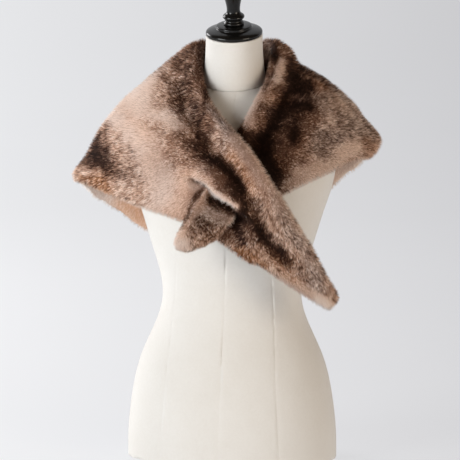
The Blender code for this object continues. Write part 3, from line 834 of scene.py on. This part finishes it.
# %% Strokes on the left front and its end
LEFT_STROKES = (
    # collar
    ("seal", 2.2, (271, 42), (275, 58)),
    ("tan", 5, (280, 42), (288, 54)),
    ("seal", 3.5, (292, 57), (298, 64)),
    # painted highlight along the collar's fold
    ("cream", 3.4, (283, 62), (278, 80)),
    ("fawn", 3, (264, 48), (267, 64)),
    # painted shade where the collar's inner rim meets the neck
    ("nut", 2, (269, 70), (265, 84)),
    ("sand", 4, (262, 97), (256, 106)),
    ("fawn", 3.6, (272, 84), (271, 98)),
    ("nut", 4, (281, 86), (279, 98)),
    ("mist", 4, (254, 108), (248, 124)),
    ("nut", 4, (262, 108), (261, 126)),
    # black marks below the collar: dye, and partly painted shade in the trough under the roll
    ("soot", 6, (294, 68), (296, 84), (287, 98), (282, 112), (277, 126)),
    ("soot", 5, (312, 82), (302, 90)),
    ("soot", 4, (298, 104), (313, 107)),
    ("soot", 5.5, (270, 130), (262, 143), (265, 156), (272, 168), (279, 180)),
    ("seal", 4.5, (242, 132), (256, 143)),
    ("soot", 4, (297, 132), (293, 139)),
    # brown shoulder
    ("bark", 4.5, (294, 94), (302, 99)),
    ("nut", 5, (309, 72), (326, 84)),
    ("bark", 5.5, (285, 122), (298, 117)),
    ("nut", 4, (277, 134), (286, 140)),
    ("chestnut", 7, (316, 114), (306, 128)),
    ("nut", 6, (290, 150), (302, 158)),
    ("nut", 4.5, (281, 152), (286, 172)),
    ("dove", 4.5, (286, 184), (300, 178)),
    # smoky field and hem
    ("smoke", 7, (324, 98), (336, 92)),
    ("ash", 7, (345, 99), (358, 112)),
    ("ash", 7, (326, 107), (330, 121)),
    ("smoke", 5, (342, 118), (342, 128)),
    ("smoke", 5, (352, 124), (359, 132)),
    ("smoke", 5.5, (322, 147), (328, 156)),
    ("smoke", 4.5, (334, 141), (321, 138)),
    ("smoke", 4, (366, 124), (377, 138)),
    ("tan", 5, (366, 142), (375, 147)),
    ("mist", 6, (356, 146), (340, 154)),
    # paler than the fur looks: a painted fill for the shade the hem lies in
    ("mist", 7, (298, 174), (314, 166), (334, 164)),
    ("fawn", 3.6, (342, 172), (348, 165), (364, 158)),
)
LEFT_END_STROKES = (
    # painted shadow along the edge of the end, where it comes out from under the front
    ("bark", 2, (199, 191), (190, 205), (182, 219), (177, 229)),
    ("tan", 2.5, (174, 231), (172, 240)),
    ("sand", 4.2, (203, 196), (197, 210), (188, 223), (180, 236)),
    ("cream", 4.5, (180, 244), (189, 249)),
    # painted shadow under the slit's lip
    ("seal", 3, (211, 201), (222, 206), (233, 211)),
    ("dove", 4.5, (208, 212), (218, 215), (229, 219)),
    ("bark", 4, (198, 222), (208, 228)),
    ("tan", 4.5, (190, 230), (198, 236)),
    ("chestnut", 5, (205, 238), (219, 234)),
    ("tan", 4, (200, 246), (190, 251)),
)
print(len(LEFT_STROKES) + len(LEFT_END_STROKES), "strokes")

# %% Strokes on the back
BACK_STROKES = (                   # in millimetres across and up, and so are their reaches
    # collar and nape
    ("nut", 12, (-60, 690), (0, 692), (60, 690)),
    ("tan", 20, (-50, 650), (-40, 600)),
    ("sand", 22, (0, 640), (10, 560)),
    ("bark", 18, (60, 640), (50, 540)),
    ("nut", 10, (90, 680), (96, 668)),
    ("cream", 6, (46, 692), (50, 672)),
    # over the right arm
    ("nut", 24, (-110, 640), (-130, 560)),
    ("cream", 26, (-174, 600), (-225, 560)),
    ("seal", 14, (-252, 505), (-245, 480)),
    ("sand", 24, (-200, 540), (-150, 470)),
    ("seal", 20, (-135, 545), (-90, 500)),
    # the milk and straw strokes on the hanging strip are paler than the fur looks: painted fill for the shade
    # it lies in
    ("milk", 16, (-265, 450), (-235, 420)),
    ("straw", 20, (-210, 400), (-167, 376)),
    # down the middle
    ("seal", 16, (-45, 560), (-20, 470)),
    ("sand", 24, (-80, 480), (-110, 410)),
    ("sand", 24, (15, 520), (5, 400)),
    ("nut", 20, (70, 500), (60, 420)),
    ("tan", 14, (-30, 360), (40, 365)),
    # over the left arm
    ("seal", 12, (104, 655), (128, 636)),
    ("mist", 20, (100, 630), (110, 560)),
    ("bark", 16, (165, 600), (150, 540)),
    ("ash", 18, (191, 603), (215, 575)),
    ("fawn", 22, (125, 520), (130, 440)),
    ("mist", 18, (210, 540), (185, 500)),
    ("milk", 14, (205, 488), (168, 454)),
)
print(len(BACK_STROKES), "strokes")

# %% [markdown]
# To throw a stroke onto the fur, a ray is sent from the camera through each of its places, and the point
# where it meets the pelt is kept. A place that misses by a hair takes the nearest point.

# %% Strokes thrown onto the fur
Mark = namedtuple("Mark", "dye reach path")            # in metres across and up, on the fur
DOT = SEEN_WIDTH / DOTS            # metres, at the form
MIDDLE = DOTS / 2 - SHIFT * DOTS   # the dot across that the camera aims at
eye, aimed = camera.location, camera.rotation_euler.to_matrix()
pelt = world_tree(FUR_NODES)


def thrown(dye, reach, *path):
    """A stroke drawn in the camera's frame, laid on the fur: its places become metres across and up."""
    places = []
    for across, down in path:
        way = aimed @ Vector(((across - MIDDLE) * DOT, (DOTS / 2 - down) * DOT, -CAMERA_DISTANCE))
        place = pelt.ray_cast(eye, way.normalized())[0] or pelt.find_nearest(eye + way)[0]
        places.append((place.x, place.z))
    return Mark(dye, reach * DOT, places)


MARKS = {part: [thrown(*stroke) for stroke in strokes] for part, strokes in (
    ("right", RIGHT_STROKES), ("left", LEFT_STROKES), ("left_end", LEFT_END_STROKES))}
MARKS["back"] = [Mark(dye, reach / 1000, np.array(path) / 1000) for dye, reach, *path in BACK_STROKES]
print({part: len(marks) for part, marks in MARKS.items()}, "strokes on the fur")

# %% [markdown]
# Nothing on a pelt is even, so many steps below ask for a number that wanders smoothly from place to place.
# Space is cut into cells. A small hash turns each corner of a cell into a number that looks random and
# always stays the same, and a place takes a mix of its eight corners.

# %% Smooth random numbers
CELL_PRIMES, SEED_PRIME = (73856093, 19349663, 83492791), 2654435761
STIRS = ((15, 1274126177), (13, 1103515245))   # bits to shift by, and a large number to multiply with


def eased(share):
    """A share from 0 to 1 that sets off and arrives gently."""
    return share * share * (3 - 2 * share)


def blotches(places, size, seed):
    """A smooth random number from -1 to 1 at each place; size is the width of a blotch."""
    at = places / size
    cell = np.floor(at).astype(np.int64)
    share = eased(at - cell)
    total = np.zeros(len(places))
    for corner in np.ndindex(2, 2, 2):
        where = cell + np.array(corner)
        code = np.bitwise_xor.reduce(where * CELL_PRIMES, axis=1) ^ (seed * SEED_PRIME)
        for bits, stir in STIRS:
            code = (code ^ (code >> bits)) * stir & 0xFFFFFFFF
        weight = np.prod(np.where(np.array(corner) == 1, share, 1 - share), axis=1)
        total += weight * (code / 0xFFFFFFFF * 2 - 1)
    return total


print("at three places:", blotches(np.eye(3), 0.7, 1).round(2))

# %% [markdown]
# Near several strokes a hair takes the mean of their dyes. Each stroke's weight falls off with distance, as
# a wet dye spreads, and the places are first pushed about a little so that no edge is straight.

# %% How the strokes mix
FIELD_TONE = 0.55                  # where no mark is near
FIELD_WEIGHT = 0.001
FIRM_REACH = 0.010                 # a small mark is firmer than a large one: this reach is the measure
FIRMNESS = 1.6                     # and how much firmer
FADE = 1.8                         # how fast a mark fades beyond its reach
WANDER, WANDER_SIZE = 0.0028, 0.012    # metres: how far the marks' edges wander, and in how wide waves
WANDER_SEEDS = (3, 4)              # across and up
FRONT_SETS = {"fur_right_front": "right", "fur_right_end": "right", "fur_left_front": "left",
              "fur_left_end": "left_end"}
SHOULDER = (0.018, 0.060)          # where the front marks give way to the back ones, front to back


def marked(marks, places):
    """The tone and the greyness that a set of marks gives each place."""
    flat = places[:, (0, 2)] + WANDER * np.stack([blotches(places, WANDER_SIZE, s) for s in WANDER_SEEDS], 1)
    weights = np.full(len(places), FIELD_WEIGHT)
    total = np.outer((FIELD_TONE, 0.0), weights)
    for mark in marks:
        far = distance_to(mark.path, flat) / mark.reach
        weight = np.exp(-FADE * far) * (FIRM_REACH / mark.reach) ** FIRMNESS
        weights += weight
        total += np.outer(DYES[mark.dye], weight)
    return total / weights


def dyed(node, places):
    """The tone and the greyness of the fur at each place. The back's marks take over at the shoulder."""
    if node in FRONT_SETS:
        front = marked(MARKS[FRONT_SETS[node]], places)
    else:
        front = np.where(places[:, 0] < 0, marked(MARKS["right"], places), marked(MARKS["left"], places))
    if node == "fur_left_end":
        return front
    share = eased(np.clip((places[:, 1] - SHOULDER[0]) / (SHOULDER[1] - SHOULDER[0]), 0, 1))
    return front * (1 - share) + marked(MARKS["back"], places) * share


print("a place far from all strokes has tone", FIELD_TONE)

# %% [markdown]
# ## Laying the pile
# Hairs on a pelt all lean with the nap, here down and outwards, with a swirl here and there. They stand
# together in tufts a few millimetres apart, pale at the tips and dark at the roots, and that is what makes
# the salted look. A few longer guard hairs stand up and blur the outline.

# %% Nap, scatter and tufts
NAP_OUT = 0.8                      # how much of the nap runs outwards, beside 1 down
SWIRL = math.radians(32)
SWIRL_SIZE, SMALL_SWIRL_SIZE = 0.045, 0.014            # metres
FORM_AXIS = np.array((0.0, 0.03, 0.0))
SIDES_APART = 0.03                 # metres: keeps a tuft from gathering hairs on the other face of the fur


def nap_at(places, normals, seed):
    """The way the hair leans at each place, along the surface."""
    outwards = places - FORM_AXIS
    outwards[:, 2] = 0
    lean = np.array((0.0, 0.0, -1.0)) + NAP_OUT * unit(outwards)
    lean -= (lean * normals).sum(1)[:, None] * normals
    lean = unit(lean)
    side = np.cross(normals, lean)
    turn = SWIRL * blotches(places, SWIRL_SIZE, seed)
    turn += 0.5 * SWIRL * blotches(places, SMALL_SWIRL_SIZE, seed + 1)
    return lean * np.cos(turn)[:, None] + side * np.sin(turn)[:, None]


def scattered(skin, count, rng, chance):
    """count places on a skin, at random, thick where chance is high: place, way out and depth of each."""
    odds = np.cumsum(skin.areas * chance)
    triangle = np.searchsorted(odds, rng.random(count) * odds[-1])
    u, v = rng.random((2, count))
    over = u + v > 1
    u[over], v[over] = 1 - u[over], 1 - v[over]
    shares = np.stack((1 - u - v, u, v), 1)
    corners = skin.corners[triangle]
    place = (skin.points[corners] * shares[:, :, None]).sum(1)
    way = unit((skin.ways[corners] * shares[:, :, None]).sum(1))
    depth = (skin.depth[corners] * shares).sum(1)
    return place, way, depth


def nearest(places, ways, centres, centre_ways):
    """For each place the number of the nearest tuft on its own side of the fur."""
    tree = KDTree(len(centres))
    for k, p in enumerate(centres + centre_ways * SIDES_APART):
        tree.insert(p, k)
    tree.balance()
    return np.array([tree.find(p)[1] for p in (places + ways * SIDES_APART).tolist()])


print("nap: 1 down and", NAP_OUT, "outwards")

# %% [markdown]
# The mesh of a pile is filled from whole arrays, which is many times faster than adding one face after
# another. Each hair also gets a cell of its own in the texture's square, for programs that bake colours.

# %% Mesh of a pile
SPIKE = np.array(((0, 1, 3), (1, 2, 3), (2, 0, 3)))    # a hair's three faces, by its four points
UV_EDGE, UV_STEP = 0.06, 0.3       # where a hair's faces lie in its cell of the texture, side by side
UV_FACE = ((0.02, 0.12), (0.26, 0.12), (0.14, 0.90))


def labelled(mesh, **labels):
    """Writes one number for each point of a mesh, under each name, for the material to read."""
    for label, values in labels.items():
        mesh.attributes.new(label, "FLOAT", "POINT").data.foreach_set("value", values.astype(np.float32))


def hair_mesh(name, points):
    """A mesh of three-sided spikes, each from four points: a ring of three and a tip."""
    n = len(points) // 4
    loops = (np.arange(n)[:, None, None] * 4 + SPIKE).ravel()
    mesh = bpy.data.meshes.new(name)
    mesh.vertices.add(4 * n)
    mesh.vertices.foreach_set("co", points.ravel().astype(np.float32))
    mesh.loops.add(9 * n)
    mesh.loops.foreach_set("vertex_index", loops.astype(np.int32))
    mesh.polygons.add(3 * n)
    mesh.polygons.foreach_set("loop_start", np.arange(3 * n, dtype=np.int32) * 3)
    mesh.update(calc_edges=True)
    mesh.polygons.foreach_set("use_smooth", np.ones(3 * n, bool))
    cells = math.ceil(math.sqrt(n))    # each hair has its own square cell of the texture's square
    cell = np.stack((np.arange(n) % cells, np.arange(n) // cells), 1)[:, None, :]
    inside = np.array([(UV_EDGE + UV_STEP * k + dx, y) for k in range(3) for dx, y in UV_FACE])
    uv = mesh.uv_layers.new(name="OFBake")
    uv.data.foreach_set("uv", ((cell + inside) / cells).ravel().astype(np.float32))
    return mesh


print("each hair has", len(SPIKE), "faces")

# %% [markdown]
# A hair starts on the skin, leans with the nap and is then drawn towards the tip of its tuft. It takes its
# tone from the strokes at its tip, salted with the tuft's own tone and its own. The shading normals point
# mostly out of the fur, so the pile is lit as one soft surface and not as a crowd of thin blades.

# %% Sizes of the hairs
HAIR_LENGTH = 0.0072
LENGTHS, TUFT_LENGTHS = (0.72, 1.10), (0.88, 1.12)     # shares of that length, from shortest to longest
RIM_LENGTH = 0.80                  # share of its length that a hair keeps where the fur is thinnest
WIDTHS = (0.75, 1.2)               # shares of a pile's own width of hair
GUARD_SHARE = 0.10                 # of all hairs
GUARD_UP, GUARD_LONG, GUARD_DRAWN, GUARD_WIDE = 1.35, 1.18, 0.35, 0.8   # beside an ordinary hair
UPRIGHT = 1.9                      # how far a hair stands up, beside 1 along the nap
LEAST_UP = 0.6                     # share of that where the fur is thinnest
NAP_SEED = 11
NAP_JITTER = 0.30
TUFT = 0.0031                      # metres from tuft to tuft
TUFT_PLENTY = 1.25                 # times as many tufts as that needs, because they fall at random
CLUMP = 0.36                       # how far a tip is drawn to the tip of its tuft
DRAWS = (0.5, 1.2)                 # and its least and most, as shares of that
MOST_DRAW = 0.004                  # metres, at most
ROUNDNESS = 0.45                   # how much a hair's own round side shows in the light
HIDDEN_SHARE = 0.26                # how thickly hair stands where nothing is seen
OPEN_POWER = 0.9                   # and how fast it thickens as a place opens up
print(f"hairs {HAIR_LENGTH * 1000:.1f} mm long in tufts {TUFT * 1000:.1f} mm apart")

# %% Tones of the hairs
LIVELY_TONES = (0.0, 0.2, 0.62, 0.69)  # brown fur is salted with pale tips, cream fur is even
LIVELY_SHARES = (0.35, 1.0, 1.1, 0.10)
SALT = 0.13                        # how far tufts, and hairs in a tuft, differ in tone
MOTTLE, MOTTLE_SIZE, MOTTLE_SHAPE = 0.13, 0.011, (1, 1, 0.55)   # broad blotches, drawn out downwards
FINE_MOTTLE, FINE_SIZE = 0.10, 0.0055
GREY_MOTTLE, GREY_SIZE = 0.2, 0.03
print("tufts and hairs differ in tone by", SALT)

# %% Laying a pile
def shortened(depth):
    """The share of its length that a hair keeps in a pile of this depth."""
    return RIM_LENGTH + (1 - RIM_LENGTH) * np.clip(depth / PILE_HEIGHT, 0, 1)


def lay_pile(node, count, seed, half, salt):
    """A joined mesh of hairs over one skin."""
    rng, skin = np.random.default_rng(seed), skins[node]
    chance = np.where(skin.seam, 0, HIDDEN_SHARE + skin.open ** OPEN_POWER)
    root, way, depth = scattered(skin, count, rng, chance)
    tufts = int(skin.areas[~skin.seam].sum() / TUFT ** 2 * TUFT_PLENTY)
    tuft_root, tuft_way, tuft_depth = scattered(skin, tufts, rng, np.where(skin.seam, 0, 1.0))
    group = nearest(root, way, tuft_root, tuft_way)

    def lean(place, way, depth, guard, jitter):
        """The way a hair points: mostly up from the skin, and some way down the nap."""
        up = np.clip(depth / PILE_HEIGHT, LEAST_UP, 1.0) * np.where(guard, GUARD_UP, 1.0)
        return unit(UPRIGHT * way * up[:, None] + unit(nap_at(place, way, NAP_SEED) + jitter * NAP_JITTER))

    n = len(root)
    guard = rng.random(n) < GUARD_SHARE
    length = HAIR_LENGTH * rng.uniform(*LENGTHS, n) * np.where(guard, GUARD_LONG, 1.0) * shortened(depth)
    tip = root + lean(root, way, depth, guard, rng.normal(0, 1, (n, 3))) * length[:, None]
    tuft_length = HAIR_LENGTH * rng.uniform(*TUFT_LENGTHS, tufts) * shortened(tuft_depth)
    tuft_tip = tuft_root + lean(tuft_root, tuft_way, tuft_depth, np.zeros(tufts, bool),
                                rng.normal(0, 1, (tufts, 3))) * tuft_length[:, None]
    draw = CLUMP * rng.uniform(*DRAWS, n) * np.where(guard, GUARD_DRAWN, 1.0)
    pull = (tuft_tip[group] - tip) * draw[:, None]
    tip += unit(pull) * np.minimum(np.linalg.norm(pull, axis=1), MOST_DRAW)[:, None]

    along = unit(tip - root)
    side = unit(np.cross(along, way) + 0.01 * along[:, (1, 2, 0)])   # never nothing, also for an upright hair
    lift = np.cross(along, side)
    wide = half * rng.uniform(*WIDTHS, n) * np.where(guard, GUARD_WIDE, 1.0)
    spin = rng.uniform(0, 2 * math.pi, n)
    ring, round_ways = [], []
    for k in range(3):
        turn = spin + 2 * math.pi * k / 3
        out = side * np.cos(turn)[:, None] + lift * np.sin(turn)[:, None]
        ring.append(root + out * wide[:, None])
        round_ways.append(unit(way + ROUNDNESS * out))
    points = np.stack((*ring, tip), 1).reshape(-1, 3)
    outwards = np.stack((*round_ways, way), 1).reshape(-1, 3)

    tone, grey = dyed(node, tip)
    lively = salt * np.interp(tone, LIVELY_TONES, LIVELY_SHARES)
    mottle = MOTTLE * blotches(root * MOTTLE_SHAPE, MOTTLE_SIZE, seed)
    mottle += FINE_MOTTLE * blotches(root, FINE_SIZE, seed + 5)
    tuft_tone = rng.normal(0, SALT, tufts)[group]
    tone = np.clip(tone + lively * (mottle + tuft_tone + rng.normal(0, SALT, n)), 0.0, 1.0)
    grey = np.clip(grey + GREY_MOTTLE * blotches(root, GREY_SIZE, seed + 9), -1, 1)

    name = node.replace("fur_", "") + "_pile"
    mesh = hair_mesh(name, points)
    labelled(mesh, tone=np.repeat(tone, 4), grey=np.repeat(grey, 4), along=np.tile((0.0, 0.0, 0.0, 1.0), n))
    mesh.normals_split_custom_set_from_vertices(outwards)
    pile = bpy.data.objects.new(name, mesh)
    bpy.context.scene.collection.objects.link(pile)
    return pile


# %% [markdown]
# ## The colour of a hair
# Each hair knows its tone, its greyness and how far along it a point is. The tone picks a colour from one
# ramp of browns, the root is darker than the tip, and greyness takes the warmth out. Sheen adds the soft
# pale bloom that fur has at a glancing angle.

# %% Fur finish
BROWNS = (
    (0.00, (0.010, 0.0040, 0.0024)), (0.12, (0.045, 0.019, 0.011)), (0.24, (0.165, 0.080, 0.050)),
    (0.36, (0.36, 0.200, 0.133)), (0.50, (0.60, 0.385, 0.278)), (0.66, (0.76, 0.54, 0.42)),
    (0.84, (0.82, 0.63, 0.515)), (1.00, (0.92, 0.77, 0.67)),
)
ROOT_TONE = (0.40, 0.94)           # share of its tone that a brown and a cream hair have at the root
BROWN_END, CREAM_END = 0.35, 0.85  # the tones between which that share grows
TIP_TONE, TIP_START = 1.04, 0.8    # share of its tone that a tip has, and where along the hair it is reached
SPECK = 0.16
GREYING = 0.6


def fur_finish():
    fur, shader = new_material("fur")
    tone, along, grey = (add(fur, "Attribute", {"attribute_name": label}).outputs["Fac"]
                         for label in ("tone", "along", "grey"))
    place = add(fur, "TexCoord").outputs["Object"]
    root = add(fur, "MapRange", Value=tone, From_Min=BROWN_END, From_Max=CREAM_END, To_Min=ROOT_TONE[0],
               To_Max=ROOT_TONE[1]).outputs["Result"]
    shade = add(fur, "MapRange", Value=along, From_Max=TIP_START, To_Min=root,
                To_Max=TIP_TONE).outputs["Result"]
    speck = about_zero(fur, noise(fur, place, scale=900.0, detail=1.0), SPECK)
    seen = maths(fur, "ADD", maths(fur, "MULTIPLY", tone, shade), speck, clamp=True)
    warmth = maths(fur, "SUBTRACT", 1.0, maths(fur, "MULTIPLY", grey, GREYING))
    less = add(fur, "HueSaturation", Color=ramp(fur, seen, BROWNS), Saturation=warmth).outputs["Color"]
    join(fur, less, shader, "Base Color")
    constants(shader, Roughness=0.65, Specular_IOR_Level=0.1, Sheen_Weight=0.02, Sheen_Roughness=0.45)
    return fur


fur = fur_finish()
print(fur.name, "finish:", len(fur.node_tree.nodes), "nodes,", len(BROWNS), "browns")

# %% Pile on every skin
Pile = namedtuple("Pile", "node count seed half salt flat")
PILES = (                          # half a hair's width, how mottled, and the piece as cut: width and length
    Pile("fur_right_front", 66000, 21, 0.00030, 0.92, (0.26, 0.36)),
    Pile("fur_left_front", 60000, 22, 0.00030, 0.70, (0.22, 0.28)),
    Pile("fur_back", 66000, 23, 0.00042, 0.90, (0.36, 0.62)),
    Pile("fur_right_end", 26000, 24, 0.00030, 0.95, (0.12, 0.20)),
    Pile("fur_left_end", 16000, 25, 0.00030, 1.0, (0.09, 0.12)),
)
SKIN_TONE, SKIN_ALONG = 0.75, 0.3  # the skin is a little darker than its hairs, and coloured like their roots

for spec in PILES:
    pile = lay_pile(spec.node, spec.count, spec.seed, spec.half, spec.salt)
    skin, points = skins[spec.node].obj, skins[spec.node].points
    tone, grey = dyed(spec.node, points)
    labelled(skin.data, tone=tone * SKIN_TONE, grey=grey, along=np.full(len(points), SKIN_ALONG))
    for piece in (skin, pile):
        dressed(piece, fur)
        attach(piece, "root")
    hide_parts(spec.node)
